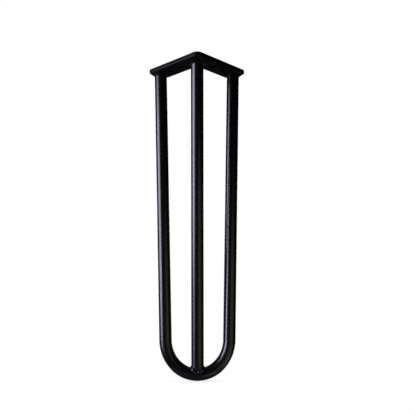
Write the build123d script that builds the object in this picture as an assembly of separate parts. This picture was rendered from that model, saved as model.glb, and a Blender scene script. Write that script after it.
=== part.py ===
from build123d import *
import os
from math import acos, atan2, cos, degrees, radians, sin, sqrt, tan

# Three-rod hairpin table leg, welded from round bar and flat plate.
# The origin is on the mounting face, above the corner rod's axis. +Z points out of that face, up into the
# table. +Y runs along the plate's diagonal, from its outer corner to its open side, and the foot leans that way.

# Driving dimensions, in millimetres and degrees
leg_height = 300.0  # mounting face to floor
rod_diameter = 12.0
plate_thickness = 5.0
arm_length = 66.3  # outer edge of each arm, from the sharp outer corner
arm_width = 20.4
end_cut_angle = 18.0  # how far the arms' ends turn from square, with the inner side the longer one
outer_corner_radius = 5.5
inner_corner_radius = 3.0
edge_radius = 1.4  # rounding all along the plate's edges
tip_extra_radius = 0.2  # how much rounder the arms' tips are than the edges
leg_end_margin = 1.7  # hairpin leg to the arm's end
leg_inner_margin = 2.9  # hairpin leg to the arm's inner edge
corner_rod_margin = 1.6  # corner rod to the plate's sharp inner corner
foot_reach = 23.0  # how far the foot stands out past the tops of the hairpin's legs
toe_radius = 29.0  # bottom arc of the bend, at the rod's axis
toe_half_angle = 50.0
side_radius = 35.0  # arcs that lead from the legs into the bottom arc
cope_gap = 0.05  # between the corner rod's coped end and the bend
plate_weld_leg = 1.1
plate_weld_toe = 0.2  # thickness of a plate weld at its lower rim
foot_weld_radius = 1.3
foot_weld_proud = 0.7  # height of the foot weld at its front and back
screw_hole_diameter = 5.0
screw_hole_spacing = 15.0  # along each arm

# Sizes and places that follow from them
rod_radius = rod_diameter / 2
underside = -plate_thickness
end_slope = radians(end_cut_angle)
sharp_inner_corner = arm_width * sqrt(2)
corner_inset = sharp_inner_corner - rod_radius - corner_rod_margin
leg_across = arm_width - leg_inner_margin - rod_radius
leg_along = arm_length + leg_across * tan(end_slope) - (rod_radius + leg_end_margin) / cos(end_slope)
screw_row_middle = (corner_inset / sqrt(2) + leg_along) / 2


def on_arm(side, along, across):
    """A point of the right (side 1) or left (side -1) arm: along its outer edge, and in from that edge."""
    return Vector(side * (along - across) / sqrt(2), (along + across) / sqrt(2) - corner_inset)


leg_top = on_arm(1, leg_along, leg_across)
foot = Vector(0, leg_top.Y + foot_reach, rod_radius - leg_height)
hairpin_rise = Vector(0, leg_top.Y, underside) - foot
corner_rise = Vector(0, 0, underside) - foot
hairpin_plane = Plane(origin=foot, x_dir=(1, 0, 0), z_dir=Vector(1, 0, 0).cross(hairpin_rise))


def make_plate():
    """Right-angled plate with two arms, rounded corners and edges, and a pair of screw holes in each arm."""
    inner_length = arm_length + arm_width * tan(end_slope)
    outline = make_face(
        Polyline(
            on_arm(1, 0, 0),
            on_arm(1, arm_length, 0),
            on_arm(1, inner_length, arm_width),
            on_arm(1, arm_width, arm_width),
            on_arm(-1, inner_length, arm_width),
            on_arm(-1, arm_length, 0),
            close=True,
        )
    )
    corners = outline.vertices().sort_by(Axis.Y)
    middle = corners.filter_by(lambda corner: abs(corner.X) < edge_radius)
    tips = corners.filter_by(lambda corner: abs(corner.X) >= edge_radius)
    outline = fillet(tips, edge_radius + tip_extra_radius)
    outline = fillet(outline.vertices().sort_by_distance(middle[0])[:1], outer_corner_radius)
    outline = fillet(outline.vertices().sort_by_distance(middle[1])[:1], inner_corner_radius)
    plate = extrude(outline, amount=-plate_thickness)
    rims = plate.faces().filter_by(Axis.Z).edges()
    plate = fillet(rims, edge_radius)
    for side in (1, -1):
        for step in (-0.5, 0.5):
            hole = on_arm(side, screw_row_middle + step * screw_hole_spacing, arm_width / 2)
            drill = Cylinder(screw_hole_diameter / 2, 2 * plate_thickness)
            plate -= Pos(hole.X, hole.Y, underside / 2) * drill
    return plate


def hairpin_path():
    """The hairpin's axis: a straight leg, a bend of three tangent arcs and the other leg, past the plate."""
    toe_angle = radians(toe_half_angle)
    growth = side_radius - toe_radius
    centre = Vector(-growth * sin(toe_angle), toe_radius + growth * cos(toe_angle))
    top = Vector(leg_top.X, hairpin_rise.length)
    reach = top - centre
    touch = atan2(reach.Y, reach.X) - acos(side_radius / reach.length)
    touch_point = centre + Vector(cos(touch), sin(touch)) * side_radius
    beyond = top + (top - touch_point).normalized() * rod_diameter
    turn = degrees(touch) + 90 - toe_half_angle
    right_arc = CenterArc(centre, side_radius, toe_half_angle - 90, turn)
    toe_arc = CenterArc((0, toe_radius), toe_radius, -90 - toe_half_angle, 2 * toe_half_angle)
    left_arc = CenterArc((-centre.X, centre.Y), side_radius, 180 - degrees(touch), turn)
    left_leg = Line((-beyond.X, beyond.Y), (-touch_point.X, touch_point.Y))
    right_leg = Line(touch_point, beyond)
    return hairpin_plane * Wire([left_leg, left_arc, toe_arc, right_arc, right_leg])


def make_bent_bar(radius):
    """Round bar of the given radius along the hairpin's axis, still running past the plate's underside."""
    path = hairpin_path()
    return sweep(Plane(path @ 0, z_dir=path % 0) * Circle(radius), path=path)


def below_plate(bar):
    """The bar, sawn off flush with the plate's underside."""
    return split(bar, bisect_by=Plane.XY.offset(underside), keep=Keep.BOTTOM)


def make_corner_rod():
    """Straight bar from the plate's corner to the middle of the bend, coped to sit on the bend."""
    bar = Cylinder(rod_radius, corner_rise.length + rod_diameter, align=(Align.CENTER, Align.CENTER, Align.MIN))
    bar = Plane(origin=foot, z_dir=corner_rise) * bar
    return below_plate(bar) - make_bent_bar(rod_radius + cope_gap)


def make_plate_weld(top, rise, bar, plate):
    """Fillet weld round a bar where it meets the plate's underside, kept within the plate's flat face."""
    lower = top - rise * (plate_weld_leg / rise.Z)
    ring = loft(
        [
            Plane(origin=lower) * Circle(rod_radius + plate_weld_toe),
            Plane(origin=top) * Circle(rod_radius + plate_weld_leg),
        ]
    )
    flat_face = plate.faces().filter_by(Axis.Z).sort_by(Axis.Z)[0]
    return (ring - bar) & extrude(flat_face, amount=2 * plate_weld_leg)


def make_foot_weld(hairpin, corner_rod):
    """Weld bead along both sides of the joint at the foot, meeting in a blob at the front and at the back."""
    inner_radius = toe_radius - rod_radius
    side_rise = toe_radius - sqrt(inner_radius**2 - rod_radius**2)
    half_depth = rod_radius + foot_weld_proud - foot_weld_radius
    bead = Part()
    for side in (1, -1):
        out = hairpin_plane.x_dir * (side * rod_radius) + hairpin_plane.y_dir * side_rise
        depth = hairpin_plane.z_dir * half_depth
        saddle = Plane(origin=foot, x_dir=depth, z_dir=depth.cross(out))
        path = saddle * EllipticalCenterArc((0, 0), half_depth, out.length, start_angle=0, arc_size=180)
        bead += sweep(Plane(path @ 0, z_dir=path % 0) * Circle(foot_weld_radius), path=path)
        bead += Pos(foot + depth * side) * Sphere(foot_weld_radius)
    return bead - hairpin - corner_rod


plate = make_plate()
hairpin = below_plate(make_bent_bar(rod_radius))
corner_rod = make_corner_rod()
leg_rise = hairpin_path() % 1

nodes = {
    "mounting_plate": plate,
    "hairpin_rod": hairpin,
    "corner_rod": corner_rod,
    "corner_plate_weld": make_plate_weld(Vector(0, 0, underside), corner_rise, corner_rod, plate),
    "foot_weld": make_foot_weld(hairpin, corner_rod),
}
for name, side in (("right_plate_weld", 1), ("left_plate_weld", -1)):
    top = Vector(side * leg_top.X, leg_top.Y, underside)
    rise = Vector(side * leg_rise.X, leg_rise.Y, leg_rise.Z)
    nodes[name] = make_plate_weld(top, rise, hairpin, plate)

os.makedirs("parts", exist_ok=True)
for name, solid in nodes.items():
    export_step(solid, f"parts/{name}.step")
    print(name, round(solid.volume, 1), solid.bounding_box())
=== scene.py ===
from math import cos, pi, radians, sin

import bmesh
import bpy
from mathutils import Matrix, Vector
from mathutils.bvhtree import BVHTree


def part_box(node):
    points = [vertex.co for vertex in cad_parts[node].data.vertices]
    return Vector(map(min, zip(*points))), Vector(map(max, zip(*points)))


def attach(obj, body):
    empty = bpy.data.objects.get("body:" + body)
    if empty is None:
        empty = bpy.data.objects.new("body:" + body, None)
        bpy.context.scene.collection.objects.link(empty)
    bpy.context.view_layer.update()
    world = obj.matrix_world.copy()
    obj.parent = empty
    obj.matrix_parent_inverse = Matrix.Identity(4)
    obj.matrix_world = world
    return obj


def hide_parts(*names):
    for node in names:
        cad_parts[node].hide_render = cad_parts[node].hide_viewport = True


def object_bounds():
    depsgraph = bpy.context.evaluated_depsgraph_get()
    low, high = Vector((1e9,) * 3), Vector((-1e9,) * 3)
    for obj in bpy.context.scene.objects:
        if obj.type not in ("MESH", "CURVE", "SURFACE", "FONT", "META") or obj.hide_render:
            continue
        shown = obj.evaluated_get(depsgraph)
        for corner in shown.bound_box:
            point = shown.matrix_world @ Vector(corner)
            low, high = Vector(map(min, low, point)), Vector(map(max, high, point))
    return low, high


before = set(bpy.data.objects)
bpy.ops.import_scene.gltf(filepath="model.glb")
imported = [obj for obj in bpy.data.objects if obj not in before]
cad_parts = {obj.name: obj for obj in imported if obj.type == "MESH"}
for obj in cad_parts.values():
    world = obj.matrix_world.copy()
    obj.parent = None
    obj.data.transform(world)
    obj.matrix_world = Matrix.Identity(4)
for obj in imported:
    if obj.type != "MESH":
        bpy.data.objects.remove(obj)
cad_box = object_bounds()

# Units: metres and degrees. The leg stands in its own frame, with the mounting face at height 0.
MM = 0.001

# Places that the frame gives
LEG_MIDDLE = (cad_box[0] + cad_box[1]) / 2
FLOOR_Z = cad_box[0].z
ROD_RADIUS = (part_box("corner_rod")[1].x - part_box("corner_rod")[0].x) / 2
ROD_TOP = Vector((0.0, 0.0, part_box("corner_rod")[1].z))
FOOT = Vector((0.0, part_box("hairpin_rod")[1].y - ROD_RADIUS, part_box("hairpin_rod")[0].z + ROD_RADIUS))
ROD_RISE = (ROD_TOP - FOOT).normalized()

# Camera, as found from the photograph: turned about a target, then slid in the picture's plane
CAMERA_AZIMUTH = -1.5464
CAMERA_ELEVATION = -10.1823
CAMERA_ROLL = -0.3468
CAMERA_DISTANCE = 0.599
CAMERA_TARGET = Vector((0.0, -0.0012, -0.14027))
CAMERA_SLIDE = Vector((0.0094, -0.0032))
FOCAL_PIXELS = 660.12
PICTURE_PIXELS = 416
SENSOR_WIDTH = 36.0

# Pale floor under the foot, which fades out to white
FLOOR_RADIUS = 0.036
FLOOR_SEGMENTS = 128
FLOOR_COLOUR = 0.42
FLOOR_LIFT = 0.8  # white that is added to the floor where it is seen
FLOOR_FADE_START = 0.014
FLOOR_FADE_END = 0.035

# The two ovals of the floor that the coat mirrors: share of white, middle, half lengths
MIRRORED_PATCHES = (
    (0.05, (0.0, 0.0), (0.03, 0.03)),  # all round the foot
    (0.6, (0.018, -0.0125), (0.018, 0.009)),  # to the right of it
)

# Dim studio with a white backdrop behind the leg
STUDIO_LIGHT = 0.006  # surroundings that the coat mirrors beside the backdrop
SKY_LIGHT = 0.064  # even light on matte surfaces
BACKDROP_FULL = 12.0  # half width of the backdrop's full white
BACKDROP_EDGE = 28.0  # half width at the end of its soft edge
BACKDROP_SOFT_FOOT = 8.0  # height over which the white begins

# Soft lamps: azimuth and elevation, distance, width and height, radiance, colour
LAVENDER = (0.82, 0.78, 1.0)
WARM = (1.0, 1.0, 0.68)
COOL = (0.9, 0.92, 1.0)
WHITE = (1.0, 1.0, 1.0)
SOFTBOXES = {
    "key_softbox": ((70, 4.5), 1.45, (1.05, 0.7), 7.9, LAVENDER),  # strips of light on the rods
    "low_softbox": ((67, -15), 1.35, (0.42, 0.42), 4.8, LAVENDER),  # the strips' lower ends
    "fill_card": ((-41, -23), 0.75, (0.73, 0.6), 0.39, WARM),  # the rods' right sides
    "low_right_card": ((-69, -46), 0.9, (0.36, 0.46), 0.75, WARM),  # the bend's right side
    "left_rear_softbox": ((154, -10), 1.2, (0.33, 1.0), 1.15, COOL),
    "right_rear_softbox": ((-154, -10), 1.2, (0.33, 1.0), 1.15, COOL),
    "rear_softbox": ((180, 22), 1.2, (0.7, 0.5), 1.5, COOL),
    "overhead_softbox": ((150, 78), 0.7, (0.5, 0.5), 1.8, WHITE),
}
AREA_LIGHT_FACTOR = 4.0  # watts for each square metre of lamp, at a radiance of 1

# Black powder coat: soft patches of two tones, uneven gloss, and orange peel
DARK_TONE = (0.0028, 0.0032, 0.0045, 1.0)
LIGHT_TONE = (0.0038, 0.0044, 0.0062, 1.0)
TONE_PATCH = 35 * MM
TONE_RANGE = (0.35, 0.65)  # noise values at which the two tones are full
GLOSS_PATCH = 9 * MM
GLOSS_RANGE = (0.3, 0.7)  # noise values of the glossiest and the dullest patches
GLOSS_SPREAD = 0.1  # how far their roughness goes down and up, as a share
PEEL_STRENGTH = 0.5

# Weld beads
RIPPLE_BOW = 0.8  # how far a ripple's middle runs ahead of its ends, in pitches
RIPPLE_POWER = 0.6  # below 1, a ripple's back is round and the crease beside it narrow

# Beads at the plate
PLATE_RIPPLE_PITCH = 1.35 * MM
PLATE_RIPPLE_HEIGHT = 0.1 * MM
PLATE_RIPPLE_BASE = 0.5  # height of the bead's crown under its ripples, in ripple heights
PLATE_STEPS_PER_RIPPLE = 12
PLATE_BEAD_POINTS = 12  # across the bead, from the plate to the bar
PLATE_BEAD_MARGIN = 0.01  # share of the bead's height that is left at the plate and at the toe
PLATE_BEAD_FULLNESS = 0.93  # mean thickness, as a share of the plain weld's
PLATE_BEAD_WAVES = ((0.05, 3, 1.3), (0.03, 7, 0.5))  # its unevenness round the bar: height, count and phase
PLATE_BEAD_TOE_POWER = 4  # how late the bead thins out towards its toe
PLATE_BEAD_OVERLAP = 0.03 * MM  # how far inside the bar the bead's toe lies
PLATE_BEAD_ROOT = 0.25 * MM  # and its root
CLEAR_OF_BAR = 0.1 * MM  # step off the bar, from where the plain weld's face is looked for
SAME_LEVEL = 0.01 * MM  # most that two points of a sawn top differ in height

# Bead at the foot
FOOT_RIPPLE_PITCH = 4.0 * MM
FOOT_RIPPLE_HEIGHT = 0.3 * MM
FOOT_RIPPLE_MIDDLE = 0.5  # height of a ripple at the bead's plain radius, as a share
FOOT_RIPPLE_START = 0.27  # place of the first ripple, in pitches
FOOT_STEPS_PER_RIPPLE = 24
FOOT_BEAD_POINTS = 20  # round the bead's section
FOOT_BEAD_RADIUS = 1.8 * MM
FOOT_BEAD_SWELL = 0.8 * MM  # how much fuller it is halfway from the rod's sides to its front and back
FOOT_BEAD_CLIMB = 0.8 * MM  # how far the bead lies up the rod from the joint
FOOT_BEAD_SIDE_SINK = 1.0 * MM  # depth of the bead's middle below the joint, at the rod's sides
FOOT_BEAD_TIP_SINK = 1.15 * MM  # and at its front and back
FOOT_PATH_DEPTH = 0.96  # where the joint is followed, as a share of the rod's radius
FOOT_PATH_START = 4  # how far up the rod the joint is looked for, in rod radii
FOOT_PATH_SMOOTHING = 6
FOOT_PATH_STRETCH = 1.25  # length of the joint, as a share of the rod's girth


def make_camera():
    """Camera at the photograph's viewing angle."""
    azimuth = radians(CAMERA_AZIMUTH)
    elevation = radians(CAMERA_ELEVATION)
    roll = radians(CAMERA_ROLL)
    back = Vector((sin(azimuth) * cos(elevation), -cos(azimuth) * cos(elevation), sin(elevation)))
    level_right = Vector((cos(azimuth), sin(azimuth), 0.0))
    level_up = back.cross(level_right)
    right = level_right * cos(roll) + level_up * sin(roll)
    up = level_up * cos(roll) - level_right * sin(roll)
    place = CAMERA_TARGET + back * CAMERA_DISTANCE + right * CAMERA_SLIDE.x + up * CAMERA_SLIDE.y
    data = bpy.data.cameras.new("camera")
    data.sensor_width = SENSOR_WIDTH
    data.lens = FOCAL_PIXELS / PICTURE_PIXELS * SENSOR_WIDTH
    camera = bpy.data.objects.new("camera", data)
    turn = Matrix((right, up, back)).transposed()
    camera.matrix_world = Matrix.Translation(place) @ turn.to_4x4()
    bpy.context.scene.collection.objects.link(camera)
    bpy.context.scene.camera = camera


def add_softbox(name, direction, distance, size, radiance, colour):
    """A soft rectangular lamp that faces the leg's middle. Azimuth 0 is at the camera, 90 at its left."""
    azimuth, elevation = (radians(angle) for angle in direction)
    way = Vector((-sin(azimuth) * cos(elevation), -cos(azimuth) * cos(elevation), sin(elevation)))
    data = bpy.data.lights.new(name, "AREA")
    data.shape = "RECTANGLE"
    data.size, data.size_y = size
    data.energy = radiance * data.size * data.size_y * AREA_LIGHT_FACTOR
    data.color = colour
    lamp = bpy.data.objects.new(name, data)
    lamp.location = LEG_MIDDLE + way * distance
    lamp.rotation_mode = "QUATERNION"
    lamp.rotation_quaternion = way.to_track_quat("Z", "Y")
    lamp.visible_camera = False
    bpy.context.scene.collection.objects.link(lamp)


def smooth_step(tree, value, start, end, height=1.0):
    """Node output that goes smoothly from 0 to the height as the value goes from start to end."""
    step = tree.nodes.new("ShaderNodeMapRange")
    step.interpolation_type = "SMOOTHSTEP"
    step.inputs["From Min"].default_value = start
    step.inputs["From Max"].default_value = end
    step.inputs["To Max"].default_value = height
    tree.links.new(value, step.inputs["Value"])
    return step.outputs["Result"]


def combined(tree, operation, first, second):
    """Node output of a sum, product or other operation on two node outputs."""
    node = tree.nodes.new("ShaderNodeMath")
    node.operation = operation
    tree.links.new(first, node.inputs[0])
    tree.links.new(second, node.inputs[1])
    return node.outputs[0]


def mixed(tree, share, plain, other):
    """Shader output that goes from the plain shader to the other one as the share goes from 0 to 1."""
    mix = tree.nodes.new("ShaderNodeMixShader")
    tree.links.new(share, mix.inputs["Fac"])
    tree.links.new(plain, mix.inputs[1])
    tree.links.new(other, mix.inputs[2])
    return mix.outputs[0]


def white_where_seen(tree, plain, white, mirrored_share):
    """The white shader for camera rays and a share of the mirrored ones, and the plain one for the rest."""
    path = tree.nodes.new("ShaderNodeLightPath")
    glossy = combined(tree, "MAXIMUM", path.outputs["Is Glossy Ray"], path.outputs["Is Transmission Ray"])
    mirrored = combined(tree, "MULTIPLY", glossy, mirrored_share)
    seen = combined(tree, "MAXIMUM", path.outputs["Is Camera Ray"], mirrored)
    return mixed(tree, seen, plain, white)


def floor_patch(tree, place, share, middle, half_lengths):
    """Node output that is the share at the middle of an oval on the floor, and fades to 0 at its edge."""
    oval = tree.nodes.new("ShaderNodeMapping")
    oval.vector_type = "TEXTURE"
    oval.inputs["Location"].default_value = (*middle, 0.0)
    oval.inputs["Scale"].default_value = (*half_lengths, 1.0)
    tree.links.new(place, oval.inputs["Vector"])
    reach = tree.nodes.new("ShaderNodeVectorMath")
    reach.operation = "LENGTH"
    tree.links.new(oval.outputs["Vector"], reach.inputs[0])
    return smooth_step(tree, reach.outputs["Value"], 1.0, 0.0, share)


def floor_material():
    """Pale matte floor that keeps the leg's shadow, fades out to white and is clear from below."""
    material = bpy.data.materials.new("floor")
    material.use_nodes = True
    tree = material.node_tree
    nodes = tree.nodes
    links = tree.links
    lit = nodes["Principled BSDF"]
    lit.inputs["Base Color"].default_value = (FLOOR_COLOUR, FLOOR_COLOUR, FLOOR_COLOUR, 1.0)
    lit.inputs["Roughness"].default_value = 1.0
    lit.inputs["Specular IOR Level"].default_value = 0.0
    lift = nodes.new("ShaderNodeEmission")
    lift.inputs["Strength"].default_value = FLOOR_LIFT
    near = nodes.new("ShaderNodeAddShader")
    links.new(lit.outputs[0], near.inputs[0])
    links.new(lift.outputs[0], near.inputs[1])
    far = nodes.new("ShaderNodeEmission")
    place = nodes.new("ShaderNodeTexCoord").outputs["Object"]
    reach = nodes.new("ShaderNodeVectorMath")
    reach.operation = "LENGTH"
    links.new(place, reach.inputs[0])
    fade = smooth_step(tree, reach.outputs["Value"], FLOOR_FADE_START, FLOOR_FADE_END)
    seen_floor = mixed(tree, fade, near.outputs[0], far.outputs[0])
    patches = [floor_patch(tree, place, *patch) for patch in MIRRORED_PATCHES]
    mirrored = combined(tree, "ADD", *patches)
    upper = white_where_seen(tree, lit.outputs[0], seen_floor, mirrored)
    below = nodes.new("ShaderNodeNewGeometry").outputs["Backfacing"]
    surface = mixed(tree, below, upper, nodes.new("ShaderNodeBsdfTransparent").outputs[0])
    links.new(surface, nodes["Material Output"].inputs["Surface"])
    return material


def make_floor():
    """A round floor under the foot."""
    mesh = bpy.data.meshes.new("floor")
    shape = bmesh.new()
    bmesh.ops.create_circle(shape, cap_ends=True, segments=FLOOR_SEGMENTS, radius=FLOOR_RADIUS)
    shape.to_mesh(mesh)
    shape.free()
    mesh.materials.append(floor_material())
    floor = bpy.data.objects.new("floor", mesh)
    floor.location = (FOOT.x, FOOT.y, FLOOR_Z)
    bpy.context.scene.collection.objects.link(floor)


def background(tree, strength):
    """White light of this strength from all round."""
    light = tree.nodes.new("ShaderNodeBackground")
    light.inputs["Color"].default_value = (*WHITE, 1.0)
    light.inputs["Strength"].default_value = strength
    return light.outputs[0]


def make_world():
    """A dim studio with a white backdrop behind the leg. The camera sees white all round."""
    world = bpy.data.worlds.new("world")
    bpy.context.scene.world = world
    world.use_nodes = True
    tree = world.node_tree
    nodes = tree.nodes
    nodes.clear()
    matte = nodes.new("ShaderNodeLightPath").outputs["Is Diffuse Ray"]
    studio = mixed(tree, matte, background(tree, STUDIO_LIGHT), background(tree, SKY_LIGHT))
    way = nodes.new("ShaderNodeSeparateXYZ")
    tree.links.new(nodes.new("ShaderNodeTexCoord").outputs["Generated"], way.inputs[0])
    behind = smooth_step(tree, way.outputs["Y"], cos(radians(BACKDROP_EDGE)), cos(radians(BACKDROP_FULL)))
    above = smooth_step(tree, way.outputs["Z"], 0.0, sin(radians(BACKDROP_SOFT_FOOT)))
    backdrop = combined(tree, "MULTIPLY", behind, above)
    surface = white_where_seen(tree, studio, background(tree, 1.0), backdrop)
    tree.links.new(surface, nodes.new("ShaderNodeOutputWorld").inputs["Surface"])


def make_coat(name, roughness, shine, peel_size, peel_depth):
    """Satin black powder coat: fine orange peel, a little unevenness in gloss and tone."""
    material = bpy.data.materials.new(name)
    material.use_nodes = True
    nodes = material.node_tree.nodes
    links = material.node_tree.links
    shader = nodes["Principled BSDF"]
    shader.inputs["Specular IOR Level"].default_value = shine
    place = nodes.new("ShaderNodeTexCoord").outputs["Object"]

    def noise(feature_size, detail):
        texture = nodes.new("ShaderNodeTexNoise")
        texture.inputs["Scale"].default_value = 1 / feature_size
        texture.inputs["Detail"].default_value = detail
        links.new(place, texture.inputs["Vector"])
        return texture.outputs["Fac"]

    tone = nodes.new("ShaderNodeValToRGB")
    for stop, position, colour in zip(tone.color_ramp.elements, TONE_RANGE, (DARK_TONE, LIGHT_TONE)):
        stop.position = position
        stop.color = colour
    links.new(noise(TONE_PATCH, detail=3.0), tone.inputs["Fac"])
    links.new(tone.outputs["Color"], shader.inputs["Base Color"])

    gloss = nodes.new("ShaderNodeMapRange")
    gloss.inputs["From Min"].default_value = GLOSS_RANGE[0]
    gloss.inputs["From Max"].default_value = GLOSS_RANGE[1]
    gloss.inputs["To Min"].default_value = roughness * (1 - GLOSS_SPREAD)
    gloss.inputs["To Max"].default_value = roughness * (1 + GLOSS_SPREAD)
    links.new(noise(GLOSS_PATCH, detail=2.0), gloss.inputs["Value"])
    links.new(gloss.outputs["Result"], shader.inputs["Roughness"])

    peel = nodes.new("ShaderNodeBump")
    peel.inputs["Strength"].default_value = PEEL_STRENGTH
    peel.inputs["Distance"].default_value = peel_depth
    links.new(noise(peel_size, detail=1.0), peel.inputs["Height"])
    links.new(peel.outputs["Normal"], shader.inputs["Normal"])
    return material


def surface_of(node):
    """A CAD node's surface, for finding where a line meets it."""
    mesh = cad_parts[node].data
    corners = [vertex.co.copy() for vertex in mesh.vertices]
    return BVHTree.FromPolygons(corners, [list(face.vertices) for face in mesh.polygons])


def ripple(phase):
    """Height of a weld's ripples, 0 to 1: round backs with a crease between one and the next."""
    return abs(sin(pi * phase)) ** RIPPLE_POWER


def make_bead(node, rings, coat):
    """A bead in place of a CAD weld, from rings of points that are joined in a closed row."""
    name = node + "_bead"
    mesh = bpy.data.meshes.new(name)
    shape = bmesh.new()
    grid = [[shape.verts.new(point) for point in ring] for ring in rings]
    for i in range(len(grid)):
        here = grid[i - 1]
        there = grid[i]
        for j in range(len(here)):
            shape.faces.new((here[j - 1], here[j], there[j], there[j - 1]))
    bmesh.ops.recalc_face_normals(shape, faces=shape.faces)
    shape.to_mesh(mesh)
    shape.free()
    mesh.shade_smooth()
    mesh.materials.append(coat)
    bead = bpy.data.objects.new(name, mesh)
    bpy.context.scene.collection.objects.link(bead)
    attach(bead, "root")
    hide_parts(node)


def bar_top(bar, side):
    """Middle of a bar's sawn top: the right one (side 1), the left one (side -1) or the only one (0)."""
    points = [vertex.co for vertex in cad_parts[bar].data.vertices]
    level = max(point.z for point in points)
    rim = [point for point in points if level - point.z < SAME_LEVEL and point.x * side >= 0]
    middle_x = (min(point.x for point in rim) + max(point.x for point in rim)) / 2
    middle_y = (min(point.y for point in rim) + max(point.y for point in rim)) / 2
    return Vector((middle_x, middle_y, level))


def make_plate_bead(node, bar, side, coat):
    """Rippled fillet weld round a bar's top, which follows the plain CAD weld."""
    top = bar_top(bar, side)
    leg = top.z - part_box(node)[0].z
    bar_surface = surface_of(bar)
    weld_surface = surface_of(node)
    ripples = round(2 * pi * (ROD_RADIUS + leg / 2) / PLATE_RIPPLE_PITCH)
    steps = ripples * PLATE_STEPS_PER_RIPPLE
    rings = []
    for step in range(steps):
        turn = 2 * pi * step / steps
        out = Vector((cos(turn), sin(turn), 0.0))
        waves = sum(height * sin(count * turn + phase) for height, count, phase in PLATE_BEAD_WAVES)
        fullness = PLATE_BEAD_FULLNESS + waves
        ring = []
        for i in range(PLATE_BEAD_POINTS):
            share = i / (PLATE_BEAD_POINTS - 1)
            depth = leg * (PLATE_BEAD_MARGIN + (1 - 2 * PLATE_BEAD_MARGIN) * share)
            level = top - Vector((0.0, 0.0, depth))
            bar_reach = bar_surface.ray_cast(level, out)[3]
            start = bar_reach + CLEAR_OF_BAR
            weld_reach = start + (weld_surface.ray_cast(level + out * start, out)[3] or 0.0)
            if i == 0:
                width = weld_reach - bar_reach
            thickness = min(weld_reach - bar_reach, width) * (1 - share**PLATE_BEAD_TOE_POWER)
            swell = sin(pi * share) * width / leg
            phase = ripples * step / steps + RIPPLE_BOW * sin(pi * share)
            rise = swell * PLATE_RIPPLE_HEIGHT * (ripple(phase) + PLATE_RIPPLE_BASE)
            reach = bar_reach - PLATE_BEAD_OVERLAP + thickness * fullness + rise
            ring.append(level + out * reach - Vector((0.0, 0.0, rise)))
        ring.append(top + out * (bar_reach - PLATE_BEAD_ROOT))
        rings.append(ring)
    make_bead(node, rings, coat)


def smoothed(vectors):
    """The same closed row of vectors, each drawn towards its neighbours."""
    count = len(vectors)
    for _ in range(FOOT_PATH_SMOOTHING):
        vectors = [(vectors[i - 1] + vectors[i] * 2 + vectors[(i + 1) % count]) / 4 for i in range(count)]
    return vectors


def foot_joint_path(steps):
    """Points along the joint of corner rod and bend, all round the rod, and the way out of it at each."""
    bend = surface_of("hairpin_rod")
    across = Vector((1.0, 0.0, 0.0))
    front = across.cross(ROD_RISE)
    points = []
    outs = []
    for step in range(steps):
        turn = 2 * pi * step / steps
        rod_out = front * cos(turn) + across * sin(turn)
        start = FOOT + rod_out * ROD_RADIUS * FOOT_PATH_DEPTH + ROD_RISE * ROD_RADIUS * FOOT_PATH_START
        point, bend_out = bend.ray_cast(start, -ROD_RISE)[:2]
        points.append(point)
        outs.append((rod_out + bend_out).normalized())
    return smoothed(points), smoothed(outs)


def make_foot_bead(coat):
    """Rippled bead along the joint at the foot, fullest between the rod's sides and its front and back."""
    ripples = round(2 * pi * ROD_RADIUS * FOOT_PATH_STRETCH / FOOT_RIPPLE_PITCH)
    steps = ripples * FOOT_STEPS_PER_RIPPLE
    points, outs = foot_joint_path(steps)
    rings = []
    for step in range(steps):
        along = (points[(step + 1) % steps] - points[step - 1]).normalized()
        out = (outs[step] - along * outs[step].dot(along)).normalized()
        beside = along.cross(out)
        round_rod = 2 * pi * step / steps
        sink = FOOT_BEAD_SIDE_SINK + (FOOT_BEAD_TIP_SINK - FOOT_BEAD_SIDE_SINK) * cos(round_rod) ** 2
        middle = points[step] - out * sink + ROD_RISE * FOOT_BEAD_CLIMB
        radius = FOOT_BEAD_RADIUS + FOOT_BEAD_SWELL * sin(2 * round_rod) ** 2
        ring = []
        for i in range(FOOT_BEAD_POINTS):
            turn = 2 * pi * i / FOOT_BEAD_POINTS
            phase = FOOT_RIPPLE_START + ripples * step / steps + RIPPLE_BOW * cos(turn)
            reach = radius + FOOT_RIPPLE_HEIGHT * (ripple(phase) - FOOT_RIPPLE_MIDDLE)
            ring.append(middle + (out * cos(turn) + beside * sin(turn)) * reach)
        rings.append(ring)
    make_bead("foot_weld", rings, coat)


bpy.context.scene.view_settings.view_transform = "Standard"
make_camera()
make_world()
make_floor()
for name, softbox in SOFTBOXES.items():
    add_softbox(name, *softbox)

rod_coat = make_coat("rod_coat_black", 0.245, shine=0.5, peel_size=0.8 * MM, peel_depth=0.0035 * MM)
plate_coat = make_coat("plate_coat_black", 0.42, shine=0.12, peel_size=0.9 * MM, peel_depth=0.006 * MM)
weld_coat = make_coat("weld_coat_black", 0.28, shine=0.5, peel_size=0.7 * MM, peel_depth=0.005 * MM)
for node, coat in {"mounting_plate": plate_coat, "hairpin_rod": rod_coat, "corner_rod": rod_coat}.items():
    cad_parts[node].data.materials.clear()
    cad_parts[node].data.materials.append(coat)
make_plate_bead("corner_plate_weld", "corner_rod", 0, plate_coat)
make_plate_bead("right_plate_weld", "hairpin_rod", 1, plate_coat)
make_plate_bead("left_plate_weld", "hairpin_rod", -1, plate_coat)
make_foot_bead(weld_coat)
